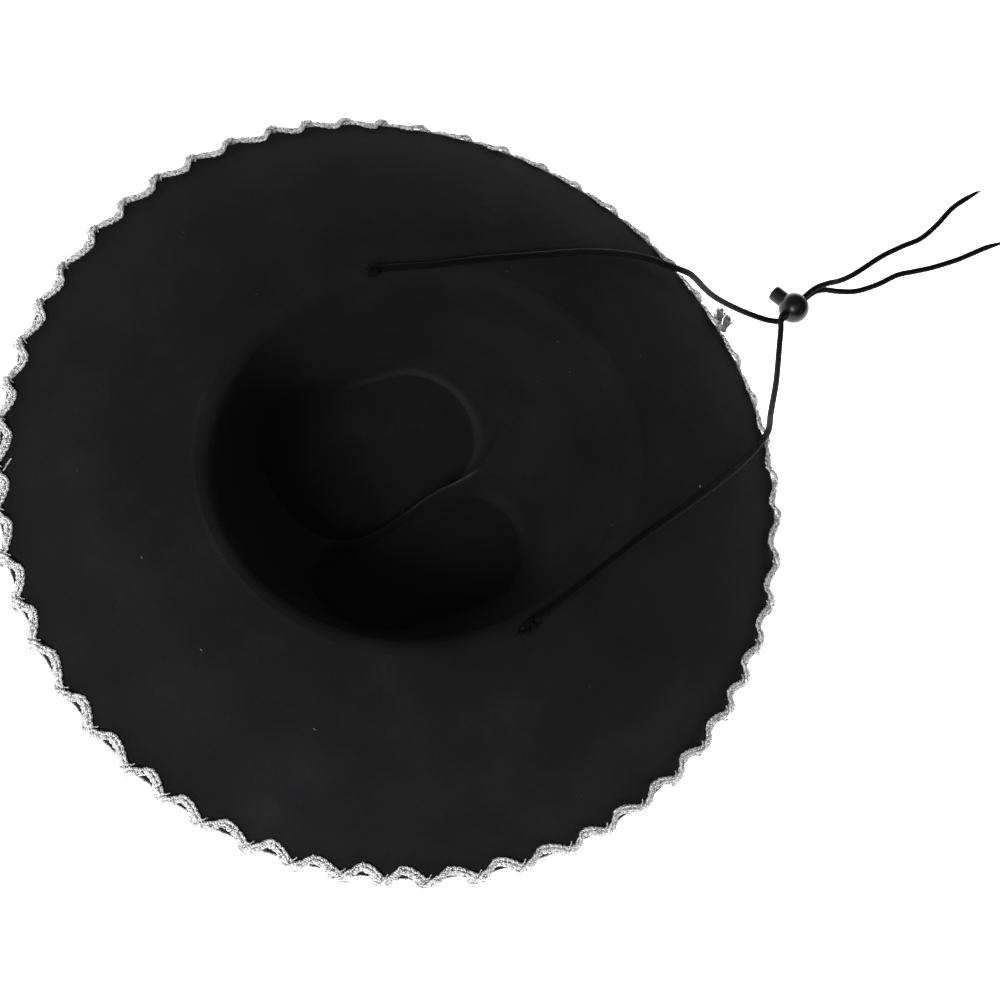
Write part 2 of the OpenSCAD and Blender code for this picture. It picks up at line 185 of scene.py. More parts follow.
class Nodes:
    """Small wrapper that keeps the material code readable."""

    def __init__(self, name):
        self.mat = bpy.data.materials.new(name)
        self.mat.use_nodes = True
        self.tree = self.mat.node_tree
        self.shader = self.tree.nodes["Principled BSDF"]

    def link(self, a, b):
        self.tree.links.new(a, b)

    def math(self, operation, a, b):
        node = self.tree.nodes.new("ShaderNodeMath")
        node.operation = operation
        for k, v in enumerate((a, b)):
            if isinstance(v, (int, float)):
                node.inputs[k].default_value = v
            else:
                self.link(v, node.inputs[k])
        return node.outputs[0]

    def wave(self, value):
        """Sine of a value counted in whole turns."""
        return self.math("SINE", self.math("MULTIPLY", value, TURN), 0)

    def blend(self, *weighted):
        """Sum of (value, weight) pairs."""
        total = 0.0
        for value, weight in weighted:
            total = self.math("ADD", self.math("MULTIPLY", value, weight), total)
        return total

    def noise(self, vector, scale, detail=2.0, rough=0.5):
        node = self.tree.nodes.new("ShaderNodeTexNoise")
        node.inputs["Scale"].default_value = scale
        node.inputs["Detail"].default_value = detail
        node.inputs["Roughness"].default_value = rough
        self.link(vector, node.inputs["Vector"])
        return node.outputs["Fac"]

    def cells(self, vector, scale):
        """Distance to the nearest cell centre, and three random values per cell."""
        node = self.tree.nodes.new("ShaderNodeTexVoronoi")
        node.inputs["Scale"].default_value = scale
        self.link(vector, node.inputs["Vector"])
        split = self.tree.nodes.new("ShaderNodeSeparateXYZ")
        self.link(node.outputs["Color"], split.inputs[0])
        return node.outputs["Distance"], split.outputs["X"], split.outputs["Y"], split.outputs["Z"]

    def ramp(self, fac, stops):
        """Colour ramp; a stop's colour is a grey level or three numbers."""
        node = self.tree.nodes.new("ShaderNodeValToRGB")
        elements = node.color_ramp.elements
        while len(elements) < len(stops):
            elements.new(0.5)
        for el, (pos, colour) in zip(elements, stops):
            el.position = pos
            el.color = (colour,) * 3 + (1,) if isinstance(colour, float) else (*colour, 1)
        self.link(fac, node.inputs["Fac"])
        return node.outputs["Color"]

    def bump(self, *layers):
        """Bump from (height, strength, distance) layers, coarse first."""
        normal = None
        for height, strength, distance in layers:
            node = self.tree.nodes.new("ShaderNodeBump")
            node.inputs["Strength"].default_value = strength
            node.inputs["Distance"].default_value = distance
            self.link(height, node.inputs["Height"])
            if normal is not None:
                self.link(normal, node.inputs["Normal"])
            normal = node.outputs["Normal"]
        self.link(normal, self.shader.inputs["Normal"])

    def mix(self, share, colour, over):
        """One plain colour laid over another colour output by its share."""
        node = self.tree.nodes.new("ShaderNodeMix")
        node.data_type = "RGBA"
        node.inputs[7].default_value = (*colour, 1)
        self.link(share, node.inputs[0])
        self.link(over, node.inputs[6])
        return node.outputs[2]

    def set(self, **values):
        for key, value in values.items():
            self.shader.inputs[key.replace("_", " ")].default_value = value

    def colour(self, output):
        self.link(output, self.shader.inputs["Base Color"])

    def object_coords(self):
        return self.tree.nodes.new("ShaderNodeTexCoord").outputs["Object"]

    def uv(self):
        node = self.tree.nodes.new("ShaderNodeUVMap")
        node.uv_map = "UVMap"
        split = self.tree.nodes.new("ShaderNodeSeparateXYZ")
        self.link(node.outputs["UV"], split.inputs[0])
        return split.outputs["X"], split.outputs["Y"]


def felt_material():
    """Pressed black felt: tangled nap, soft blotches, a few specks of pale lint, and a painted highlight
    along the crown's crease.
    """
    m = Nodes("black_felt")
    co = m.object_coords()
    blotch = m.noise(co, 28, 3, 0.55)
    fibre = m.noise(co, 1500, 3, 0.7)
    grain = m.noise(co, 420, 4, 0.6)
    base = m.ramp(m.blend((blotch, 0.55), (fibre, 0.45)),
                  [(0.30, (0.0056, 0.0056, 0.0061)), (0.55, (0.0103, 0.0103, 0.0112)),
                   (0.78, (0.018, 0.018, 0.0194))])
    distance, pick, _, level = m.cells(co, 130)
    speck = m.math("MULTIPLY", m.math("LESS_THAN", distance, 0.055), m.math("GREATER_THAN", pick, 0.86))
    linty = m.mix(m.math("MULTIPLY", speck, level), (0.07, 0.07, 0.075), base)
    # Painted highlight: a lighter felt colour laid on where the mesh attribute marks the crease's crest and
    # the humps' front ends
    painted_highlight = m.tree.nodes.new("ShaderNodeAttribute")
    painted_highlight.attribute_name = "painted_highlight"
    m.colour(m.mix(painted_highlight.outputs["Fac"], (0.040, 0.040, 0.043), linty))
    m.set(Roughness=0.92, Specular_IOR_Level=0.11, Sheen_Weight=0.02, Sheen_Roughness=0.55,
          Sheen_Tint=(0.75, 0.76, 0.82, 1))
    m.bump((grain, 0.35, 0.0006), (fibre, 0.5, 0.00025))
    return m.mat


def tinsel_material(name, light, middle, dark):
    """Metallic yarn: twisted foil film that glitters."""
    m = Nodes(name)
    u, v = m.uv()
    along = m.tree.nodes.new("ShaderNodeCombineXYZ")
    m.link(m.math("MULTIPLY", u, 8.0), along.inputs[0])
    m.link(m.math("MULTIPLY", v, 8.0), along.inputs[1])
    m.link(m.math("MULTIPLY", m.noise(m.object_coords(), 160), 24.0), along.inputs[2])
    _, tone, rough, height = m.cells(along.outputs[0], 1.0)
    twist = m.wave(m.blend((u, 2.0), (v, 9.0)))
    mix = m.blend((tone, 0.80), (m.math("ADD", twist, 1.0), 0.10))
    m.colour(m.ramp(mix, [(0.12, dark), (0.28, middle), (0.46, light), (1.0, (0.97, 0.97, 0.98))]))
    m.set(Metallic=0.25)
    m.link(m.ramp(rough, [(0.0, 0.2), (1.0, 0.5)]), m.shader.inputs["Roughness"])
    m.bump((twist, 0.5, 0.0003), (height, 0.9, 0.0004))
    return m.mat


def cord_material():
    """Matt black braided cord."""
    m = Nodes("black_cord")
    u, v = m.uv()
    thread = m.noise(m.object_coords(), 2200, 2, 0.6)
    weave = m.math("MAXIMUM", m.wave(m.blend((u, 8.0), (v, 5.5))), m.wave(m.blend((u, 8.0), (v, -5.5))))
    mix = m.blend((m.math("ADD", weave, 1.0), 0.32), (thread, 0.36))
    m.colour(m.ramp(mix, [(0.15, (0.0007, 0.0007, 0.0008)), (0.6, (0.0022, 0.0022, 0.0024)),
                          (0.92, (0.0065, 0.0065, 0.0068))]))
    m.set(Roughness=0.62, Specular_IOR_Level=0.07, Sheen_Weight=0.008)
    m.bump((weave, 0.6, 0.0005), (thread, 0.4, 0.0002))
    return m.mat


def plastic_material(name, colour, rough):
    """Moulded plastic with a faint orange-peel surface and handling haze."""
    m = Nodes(name)
    co = m.object_coords()
    haze = m.noise(co, 260, 3, 0.5)
    m.colour(m.ramp(haze, [(0.3, colour), (0.75, tuple(c * 1.8 for c in colour))]))
    m.link(m.ramp(haze, [(0.3, rough), (0.75, rough + 0.1)]), m.shader.inputs["Roughness"])
    m.set(Specular_IOR_Level=0.3)
    m.bump((m.noise(co, 900, 2, 0.5), 0.08, 0.0002))
    return m.mat


def steel_material():
    m = Nodes("spring_wire")
    drawn = m.noise(m.object_coords(), 1800, 2, 0.5)
    m.colour(m.ramp(drawn, [(0.3, (0.42, 0.42, 0.43)), (0.7, (0.62, 0.62, 0.63))]))
    m.set(Metallic=1.0, Roughness=0.32)
    m.bump((drawn, 0.2, 0.0001))
    return m.mat


def floor_material():
    m = Nodes("pale_floor")
    m.colour(m.ramp(m.noise(m.object_coords(), 3, 2, 0.5), [(0.0, 0.93), (1.0, 0.95)]))
    m.set(Roughness=0.9, Specular_IOR_Level=0.0, Emission_Color=(1, 1, 1, 1), Emission_Strength=2.2)
    return m.mat


FELT = felt_material()
TINSEL = tinsel_material("silver_tinsel", (0.88, 0.88, 0.89), (0.40, 0.40, 0.41), (0.04, 0.04, 0.045))
# Painted shade: a darker copy of the silver tinsel for the frayed tufts, which stand in shadow; the tack
# stitches use it too
GREY_TINSEL = tinsel_material("darkened_tinsel", (0.10, 0.10, 0.105), (0.05, 0.05, 0.052), (0.012, 0.012, 0.012))
CORD = cord_material()
GLOSS = plastic_material("lock_gloss_black", (0.004, 0.004, 0.005), 0.26)
SATIN = plastic_material("button_satin_black", (0.005, 0.005, 0.006), 0.38)


# ---------------------------------------------------------------- camera

TARGET = Vector((-33.93, -24.23, 112.0)) * MM
TOWARD_CAMERA = Vector((-0.1917, 0.3629, 0.9119)).normalized()
IMAGE_UP = Vector((0.9042, -0.2960, 0.3079))
CAMERA_DISTANCE = 0.780

camera_data = bpy.data.cameras.new("camera")
camera_data.sensor_width = 36
camera_data.lens = 58.65
camera_data.clip_start, camera_data.clip_end = 0.01, 20
camera = bpy.data.objects.new("camera", camera_data)
right = IMAGE_UP.cross(TOWARD_CAMERA).normalized()
place = Matrix((right, TOWARD_CAMERA.cross(right), TOWARD_CAMERA)).transposed().to_4x4()
place.translation = TARGET + TOWARD_CAMERA * CAMERA_DISTANCE
camera.matrix_world = place
bpy.context.scene.collection.objects.link(camera)
bpy.context.scene.camera = camera


# ---------------------------------------------------------------- chin cords, on the CAD's routes

CORD_D = 3.6
LOCK_AT = np.array([42.5, -289.5, 9.6])
TILT, ROLL, HEADING = np.radians([-106, 2, -70])
LOCK_OUT = np.array([math.cos(HEADING) * math.cos(ROLL), math.sin(HEADING) * math.cos(ROLL), -math.sin(ROLL)])
STACK = np.array([
    math.sin(TILT) * math.sin(ROLL) * math.cos(HEADING) - math.cos(TILT) * math.sin(HEADING),
    math.sin(TILT) * math.sin(ROLL) * math.sin(HEADING) + math.cos(TILT) * math.cos(HEADING),
    math.sin(TILT) * math.cos(ROLL)])
CORD_PITCH = CORD_D + 0.4
STRAIGHT = (-13, -9, 0, 19)


def in_lock(side):
    return [tuple(LOCK_AT + side * CORD_PITCH / 2 * STACK + along * LOCK_OUT) for along in STRAIGHT]


LEFT_ROUTE = [
    (95, -11.5, 114), (93, -22, 114), (90, -36, 114), (88, -49, 114.1), (86, -62, 114), (84, -75, 113.2),
    (82, -88, 111.8), (80.5, -101, 109.7), (79.5, -113, 107.1), (78.5, -124, 104.1), (77, -136, 100.4),
    (75, -148, 96), (72.5, -159, 92), (69, -169, 88.6), (65, -177, 86), (61.5, -185, 82.8),
    (59.5, -192.5, 77.5), (58, -200, 69), (56.5, -210, 56), (54.5, -222, 42), (52, -235, 29.5),
    (48.5, -248, 19.5), (44.5, -259, 13.2), (40, -269, 9.8),
    *in_lock(1),
    (48.5, -317, 6.5), (46, -328, 3.2), (43, -341, 1.9), (43, -358, 1.9), (45, -374, 1.9),
    (44, -388, 1.9), (43, -401, 1.9), (43, -421, 1.9), (44, -434, 1.9), (45, -446, 1.9), (45, -458, 1.9),
]
RIGHT_ROUTE = [
    (-95.5, -12, 114), (-92, -25, 114), (-87.5, -41, 114.2), (-82.5, -57, 114.2), (-78, -72, 113.9),
    (-74, -86, 112.9), (-70.5, -100, 111.3), (-67, -114, 108.8), (-63.5, -127, 105.8), (-60, -140, 102),
    (-56.5, -152, 98), (-53, -162, 94.2), (-49.5, -171, 90.8), (-46, -179, 88), (-42, -187, 84.8),
    (-38, -194.5, 79.8), (-33, -202, 72), (-26, -212, 60.5), (-15.5, -226, 47), (-4, -239.5, 36),
    (8, -251.5, 27), (20, -262, 20.5), (30, -270.5, 15.8),
    *in_lock(-1),
    (50.5, -318, 11), (51.5, -331, 5.5), (54, -346, 1.9), (59.5, -369, 1.9), (62, -387, 1.9),
    (63.5, -403, 1.9), (69, -419, 1.9), (77.5, -438, 1.9), (82.5, -460, 1.9),
]


def braided_radius(path, sides, radius, pitch=9.0, depth=0.12):
    """Radius at each point of a round braid of 8 strands, which cross over and under each other."""
    s = lengths(path)[:, None] / pitch * TURN
    a = np.arange(sides)[None, :] * TURN / sides
    one = np.cos(4 * a + s) ** 2
    two = np.cos(4 * a - s) ** 2
    return radius * (1 - depth + depth * np.maximum(one, two))


def chin_cord(label, route):
    path = even_path(smooth_path(route, 12), 0.55)
    path_length = lengths(path)[-1]
    taper = np.clip(0.5 + (path_length - lengths(path)) / 22, 0.5, 1) ** 0.8
    cord = Piece()
    cord.tube(path, braided_radius(path, 24, CORD_D / 2) * taper[:, None], 24)
    ob = cord.make(f"chin_cord_{label}_braid", CORD, "cord", replaces=(f"chin_cord_{label}",))
    fray = Piece()
    out = unit(path[-1] - path[-8])
    for _ in range(9):
        spread = out + 0.35 * RNG.standard_normal(3) * [1, 1, 0.35]
        reach = RNG.uniform(2.5, 6.5)
        tip = path[-1] + unit(spread) * reach
        tip[2] = max(tip[2], 0.35)
        bend = (path[-1] + tip) / 2 + RNG.uniform(-0.5, 0.5, 3) * [1, 1, 0.2]
        fray.tube(smooth_path([path[-1] - out * 2, bend, tip], 4), np.linspace(0.2, 0.08, 9), 5)
    end = fray.make(f"chin_cord_{label}_frayed_end", CORD, "cord")


chin_cord("left", LEFT_ROUTE)
chin_cord("right", RIGHT_ROUTE)


# ---------------------------------------------------------------- felt body

BRIM_R = 196.0
CROWN_H = 112.0
MOUTH_HL, MOUTH_HW = 105.5, 92.0
MOUTH_ROUND = 6                     # width of the mouth's rounded edge
RIM_CURL, CURL_START, CURL_POWER = 36.0, 98.0, 1.8
CURL_SPAN = BRIM_R - CURL_START
FELT_T = 2.4
TOP_HL, TOP_HW = 67.0, 73.5
CREASE = 25.0
HUMP_STEP = 6.0
HUMPS = ((1, 35.0), (-1, 29.5))     # side and radius of each hump's round ends
HUMP_SIDE = 0.9                     # how much wider the humps are outside than inside
CREASE_BEND = 15.0
SADDLE = 10.0                       # how much higher the crease is at its ends
TOP_FADE = 16                       # rows of the wall over which the saddle fades out
CROWN_LEAN = np.array([7.5, -9.0])


def brim_z(r):
    return CROWN_H - RIM_CURL * np.maximum(0, (r - CURL_START) / CURL_SPAN) ** CURL_POWER


def brim_slope(r):
    out = np.maximum(0, (r - CURL_START) / CURL_SPAN)
    return np.arctan(RIM_CURL * CURL_POWER / CURL_SPAN * out ** (CURL_POWER - 1))


def oval(a, hw, hl, n):
    r = ((np.abs(np.cos(a)) / hw) ** n + (np.abs(np.sin(a)) / hl) ** n) ** (-1 / n)
    return np.stack([r * np.cos(a), r * np.sin(a)], -1)


def off_hump(p, side, radius):
    """Distance outside one hump's flat part; the crease between the humps bends as it runs back."""
    x, y = p[..., 0], p[..., 1]
    x = x + CREASE_BEND * smoothstep((y + 30) / 60) * np.exp(-(x / 34) ** 2)
    return np.hypot(x - side * (TOP_HW - HUMP_STEP - radius),
                    np.maximum(np.abs(y) - (TOP_HL - HUMP_STEP - radius), 0)) - radius


def top_z(p, grow=0.0):
    """Crown's top: two humps with a pinched crease between them that rises towards both ends."""
    x, y = p[..., 0], p[..., 1]
    d = np.min([off_hump(p, side, radius) for side, radius in HUMPS], axis=0)
    t = np.clip((d - grow) / HUMP_STEP, 0, 1)
    on_crease = np.exp(-(x / 26) ** 2)
    rise = on_crease * (1 - (1 - t) ** 2) + (1 - on_crease) * t ** 1.25
    saddle = SADDLE * np.clip((np.abs(y) - 20) / 46, 0, 1) ** 3.2 * np.exp(-(x / 20) ** 2)
    return FELT_T + CREASE * rise * smoothstep(t * 4) + saddle * smoothstep(t * 2)


def brim_wave(a, r):
    """Slow unevenness of the soft brim, which stays flat at the front under the cords."""
    from_front = np.abs((a + math.pi / 2 + math.pi) % TURN - math.pi)
    grow = smoothstep((r - 110) / 86) * smoothstep((from_front - 0.75) / 0.6)
    return grow * (1.5 * np.sin(2 * a + 0.6) + 0.9 * np.sin(3 * a + 2.1) + 0.6 * np.sin(5 * a + 0.9)
                   + 0.3 * np.sin(9 * a + 1.7))


def felt_waver(a, r):
    """Small hand-blocked dents all over the felt."""
    x, y = r * np.cos(a), r * np.sin(a)
    return 0.16 * np.sin(x / 9 + 1.3 * np.sin(y / 17)) * np.sin(y / 11 + 1.1 * np.sin(x / 13)) \
        + 0.10 * np.sin((x + 0.6 * y) / 23) * np.cos((y - 0.4 * x) / 19)


def with_z(xy, z):
    return np.concatenate([xy, np.broadcast_to(z, xy.shape[:-1])[..., None]], -1)


TOP_ROWS, BRIM_ROWS, FELT_SIDES = 96, 61, 480


def felt_inner_face(a):
    """Rings of the face that the mouth shows, from the crown's top to the rim."""
    rings = []
    for s in np.linspace(0.012, 1, TOP_ROWS + 1)[:-1]:
        xy = oval(a, TOP_HW * s, TOP_HL * s, 3)
        rings.append(with_z(xy + CROWN_LEAN, top_z(xy)))
    keys = np.array([
        # half-width, half-length, squareness, height, share of the crown's lean
        (TOP_HW, TOP_HL, 3.0, FELT_T + CREASE, 1),
        (TOP_HW + 2.5, TOP_HL + 6, 2.7, FELT_T + CREASE + 14, 0.9),
        (MOUTH_HW - 11, MOUTH_HL - 19, 2.4, CROWN_H - 42, 0.5),
        (MOUTH_HW - 4.5, MOUTH_HL - 6, 2.1, CROWN_H - 12, 0.12),
        (MOUTH_HW - 1.5, MOUTH_HL - 1.5, 2.0, CROWN_H - 4.5, 0.03),
        (MOUTH_HW + 2, MOUTH_HL + 2, 2.0, CROWN_H - 1.2, 0),
        (MOUTH_HW + MOUTH_ROUND, MOUTH_HL + MOUTH_ROUND, 2.0, CROWN_H, 0)])
    for k, (hw, hl, n, z, lean) in enumerate(smooth_path(keys, 12)):
        xy = oval(a, hw, hl, n)
        keep_top = math.exp(-(k / TOP_FADE) ** 2)
        rings.append(with_z(xy + lean * CROWN_LEAN, z + (top_z(xy) - FELT_T - CREASE) * keep_top))
    inner = oval(a, MOUTH_HW + MOUTH_ROUND, MOUTH_HL + MOUTH_ROUND, 2)
    rim = BRIM_R * np.stack([np.cos(a), np.sin(a)], -1)
    for t in np.linspace(0, 1, BRIM_ROWS + 1)[1:]:
        xy = (1 - t) * inner + t * rim
        r = np.hypot(xy[:, 0], xy[:, 1])
        rings.append(with_z(xy, brim_z(r) + brim_wave(a, r) + felt_waver(a, r) * smoothstep((r - 120) / 30)))
    return np.array(rings)


def build_felt():
    a = np.arange(FELT_SIDES) * TURN / FELT_SIDES
    inner = felt_inner_face(a)
    along = np.gradient(inner, axis=0)
    around = np.roll(inner, -1, axis=1) - np.roll(inner, 1, axis=1)
    into_felt = unit(np.cross(around, along)) * FELT_T
    # The top's outer face is the same shape with wider humps, so that the two faces never cross
    flat_top = inner.copy()
    on_top = inner[..., :2] - CROWN_LEAN
    flat_top[..., 2] += top_z(on_top, HUMP_SIDE) - top_z(on_top) - FELT_T
    top_share = (1 - smoothstep((np.arange(len(inner)) - TOP_ROWS + 2) / 9))[:, None, None]
    outer = top_share * flat_top + (1 - top_share) * (inner + into_felt)
    rim_slope = float(brim_slope(BRIM_R))
    out = np.stack([np.cos(a) * math.cos(rim_slope), np.sin(a) * math.cos(rim_slope),
                    np.full(len(a), -math.sin(rim_slope))], 1)
    middle, half = (inner[-1] + outer[-1]) / 2, (inner[-1] - outer[-1]) / 2
    edge = [middle + half * math.sin(t) + out * (FELT_T * 0.4 * math.cos(t))
            for t in np.radians([60, 30, 0, -30, -60])]
    felt = Piece()
    felt.skin(np.concatenate([inner, edge, outer[::-1]]),
              centres=[inner[0].mean(axis=0), outer[0].mean(axis=0)])
    ob = felt.make("felt", FELT, "felt", replaces=("felt_body",))
    # Painted highlight: the felt is coloured lighter along the crease's crest and the front ends of the
    # humps, where the light catches them
    painted_highlight = np.zeros(len(ob.data.vertices), dtype=np.float32)
    top = inner[:TOP_ROWS + 6].reshape(-1, 3)[:, :2] - CROWN_LEAN
    (one, two), front = (off_hump(top, *hump) for hump in HUMPS), smoothstep((10 - top[:, 1]) / 24)
    crest = np.exp(-((one - two) / 1.3) ** 2) * smoothstep((top[:, 1] + 50) / 14) * (one < 6)
    ends = 0.42 * np.exp(-((one - 1.0) / 0.7) ** 2) * smoothstep((top[:, 0] + 4) / 10) \
        + 0.16 * np.exp(-((two - 1.2) / 1.1) ** 2) * smoothstep((-top[:, 0] - 8) / 14)
    painted_highlight[:len(top)] = front * np.maximum(crest, ends)
    ob.data.attributes.new("painted_highlight", "FLOAT", "POINT").data.foreach_set("value", painted_highlight)


build_felt()


# ---------------------------------------------------------------- silver braid over the rim

STRAND_W, YARN_R = 4.4, 0.82
WAVES = 28
SWING = 5.6                 # how far a strand's middle swings each way, along the fold
CENTRE = 1.7                # the strands cross this far onto the mouth side
PLUMP = 1.5                 # how long a strand stays at its furthest swing
SKEW = 0.50                 # the arcs rise faster than they fall
THREAD_R, CURL_YARN_R, EDGE_YARN_R = 0.34, 0.46, 0.62
CURLS = 5                   # curls of thread at each crossing
SLIP, SLIP_AT = 4.5, -1.06  # how far the braid has slipped over the edge, and at which rim angle
EDGE_R = FELT_T / 2
RIM_SLOPE = float(brim_slope(BRIM_R))
EDGE_MID = np.array([BRIM_R - EDGE_R * math.sin(RIM_SLOPE),
                     float(brim_z(BRIM_R)) - EDGE_R * math.cos(RIM_SLOPE)])
OUT = np.array([math.cos(RIM_SLOPE), -math.sin(RIM_SLOPE)])
UP = np.array([math.sin(RIM_SLOPE), math.cos(RIM_SLOPE)])


def fold_point(a, s, h):
    """Point and normal at rim angle a, distance s along the fold from the felt's edge, height h off it."""
    a, s, h = np.broadcast_arrays(a, s, h)
    rho = EDGE_R + h
    t = np.clip(s / rho, -math.pi / 2, math.pi / 2)
    back = np.maximum(np.abs(s) - rho * math.pi / 2, 0)
    normal = np.cos(t)[..., None] * OUT + np.sin(t)[..., None] * UP
    p = EDGE_MID + rho[..., None] * normal - back[..., None] * OUT

    def turned(q):
        return np.stack([q[..., 0] * np.cos(a), q[..., 0] * np.sin(a), q[..., 1]], -1)

    point = turned(p)
    point[..., 2] += brim_wave(a, np.full_like(a, BRIM_R))
    return point, turned(normal)


def phase_shift(a):
    """Unevenness of the waves round the rim."""
    return 0.20 * np.sin(5 * a + 0.4) + 0.15 * np.sin(11 * a + 2.0) + 0.12 * np.sin(23 * a + 1.0)


def plied(path, radius, sides, pitch, depth=0.16, rough=0.05):
    """Radius of a yarn twisted from two plies."""
    ang = np.arange(sides)[None, :] * TURN / sides
    rad = radius * (1 + depth * np.cos(2 * (ang - TURN * lengths(path)[:, None] / pitch)))
    return rad * (1 + rough * RNG.standard_normal(rad.shape))


def braid_centre(a):
    """How far onto the mouth side the strands cross; at the front left the braid has slipped outwards."""
    from_slip = np.abs((a - SLIP_AT + math.pi) % TURN - math.pi)
    return CENTRE - SLIP * (1 - smoothstep((from_slip - 0.55) / 0.5))


def rim_strand(start):
    """A ribbon of three twisted metallic yarns, swinging over and under the rim."""
    n = WAVES * 120
    a = np.arange(n) * TURN / n
    phase = a * WAVES + start + phase_shift(a)
    size = 1 + 0.07 * np.sin(7 * a + start) + 0.05 * np.sin(17 * a + 2 * start)
    swing = np.tanh(PLUMP * np.sin(phase + SKEW * np.sin(phase))) / math.tanh(PLUMP)
    s = braid_centre(a) + SWING * size * swing
    near_top = np.abs((phase + math.pi) % TURN - math.pi)
    h = 0.95 + 0.35 * np.cos(phase) ** 2 + 1.7 * (1 - smoothstep((near_top - 0.55) / 0.75))
    slope = np.gradient(s) / np.gradient(a)
    ln = np.hypot(BRIM_R, slope)
    width = 1 - 0.12 * np.cos(phase) ** 2
    piece = Piece()
    for k in (-1, 0, 1):
        offset = k * STRAND_W * 0.33 * width
        crown = 0.22 if k == 0 else 0.0
        path, normal = fold_point(a - slope / ln * offset / BRIM_R, s + BRIM_R / ln * offset,
                                  h + crown + 0.10 * np.sin(np.arange(n) * 0.9 + 2 * k))
        piece.tube(path, plied(path, YARN_R, 8, 5.0, 0.13, 0.08), 8, closed=True,
                   frames=frames_on(path, normal))
    return piece


def add_rim_thread(piece, a, s, h):
    path = smooth_path(fold_point(a, s, h)[0], 3)
    piece.tube(path, plied(path, THREAD_R, 6, 1.4), 6)


def add_junction(piece, a):
    """Thin threads that tie one crossing of the strands: a bridge on each side and a curl outside."""
    half = 0.22 / WAVES
    u = np.linspace(-1, 1, 7)
    for side in (1, -1):
        add_rim_thread(piece, a + half * u, braid_centre(a) + side * (3.7 + RNG.uniform(-0.3, 0.3)) + 0.8 * u,
                       1.3 + 0.6 * (1 - u ** 2))
    turn = np.linspace(0, TURN, 13)[:-1]
    for k in range(CURLS):
        radius = RNG.uniform(1.3, 2.1)
        at = a + RNG.uniform(-0.34, 0.34) / WAVES
        s0 = RNG.uniform(-1.2, 2.0) + (braid_centre(a) - CENTRE) / 2
        tilt = RNG.uniform(-0.6, 0.6)
        loop_a = at + radius * np.cos(turn) * 1.4 / BRIM_R
        loop_s = s0 + radius * tilt * np.sin(turn)
        loop_h = 1.9 + 0.6 * radius * (1 + np.sin(turn + 0.4 * k))
        path, _ = fold_point(loop_a, loop_s, loop_h)
        path = np.vstack([path, path[:1]])
        piece.tube(smooth_path(path, 3), CURL_YARN_R * (1 + 0.12 * RNG.standard_normal((37, 6))), 6)


def crossing_angle(k):
    """Rim angle of the k-th crossing."""
    a = k * math.pi / WAVES
    for _ in range(8):
        a = (k * math.pi - phase_shift(a)) / WAVES
    return a


def add_edge_yarn(piece, s, wander):
    """Thin yarn that runs along the felt's edge from crossing to crossing."""
    n = WAVES * 60
    a = np.arange(n) * TURN / n
    phase = a * WAVES + phase_shift(a)
    path, normal = fold_point(a, s + wander * np.sin(2 * phase + 0.8) + 0.25 * np.sin(37 * a),
                              0.75 + 0.35 * np.cos(2 * phase) + 0.1 * np.sin(61 * a))
    piece.tube(path, plied(path, EDGE_YARN_R, 8, 2.4), 8, closed=True, frames=frames_on(path, normal))


strands = {"a": rim_strand(0.0), "b": rim_strand(math.pi)}
add_edge_yarn(strands["a"], -0.2, 0.5)
add_edge_yarn(strands["b"], -2.0, -0.5)
for k in range(2 * WAVES):
    add_junction(strands["ab"[k % 2]], crossing_angle(k))
for label, strand in strands.items():
    strand.make(f"rim_braid_yarns_{label}", TINSEL, "silver_braid", replaces=(f"rim_braid_strand_{label}",))


TUFT_ENDS = 44


def frayed_tuft(name, base, direction, reach):
    """Bundle of loose yarn ends that stand out from the braid."""
    piece = Piece()
    base, direction = np.array(base), np.array(direction)
    for _ in range(TUFT_ENDS):
        way = unit(direction + 0.22 * RNG.standard_normal(3))
        start = base + RNG.uniform(-1.0, 1.0, 3) + 1.2 * direction
        tip = start + way * RNG.uniform(*reach)
        bend = (start + tip) / 2 + RNG.uniform(-0.7, 0.7, 3)
        piece.tube(smooth_path([start, bend, tip], 4), np.linspace(0.42, 0.16, 9), 6)
    # Painted shade: the silver tufts get the darker tinsel copy because they stand in shadow
    piece.make(name, GREY_TINSEL, "silver_braid")


frayed_tuft("braid_frayed_end", (27.4, -196.4, 75.6), (0.84, -0.43, 0.34), (5.5, 9.5))
frayed_tuft("braid_frayed_end_2", (22.6, -196.9, 75.4), (0.72, -0.58, 0.38), (6.0, 10.0))

whisker = Piece()
whisker.tube(smooth_path([(60.6, 184.6, 78.6), (62.6, 182.0, 80.2), (64.4, 179.5, 81.4)], 6), 0.38, 6)
whisker.make("braid_stray_yarn", TINSEL, "silver_braid")


# ---------------------------------------------------------------- flat braids on the hat's top side

BRAID_W = 13.0
PLAIT_YARN_R, PLAIT_YARN_GAP = 0.72, 1.55
PLAIT_EDGE = 2.4            # from a strand's middle to the braid's edge at its furthest swing
PLAIT_OFF_FELT = 2.8        # from the felt's inner face to the middle of the crown band's plait


def plait(path, normal, side, waves):
    """Flat plait of three strands, each of three yarns, along a closed path."""
    n = len(path)
    a = np.arange(n) * TURN / n
    piece = Piece()
    for k in range(3):
        phase = a * waves + k * TURN / 3
        across = (BRAID_W / 2 - PLAIT_EDGE) * np.sin(phase)
        lift = 0.75 * np.sin(2 * phase)
        for j in (-1, 0, 1):
            crown = 0.15 if j == 0 else 0
            line = path + side * (across + PLAIT_YARN_GAP * j)[:, None] + normal * (lift + crown)[:, None]
            piece.tube(line, plied(line, PLAIT_YARN_R, 8, 3.2), 8, closed=True,
                       frames=frames_on(line, normal))
    return piece


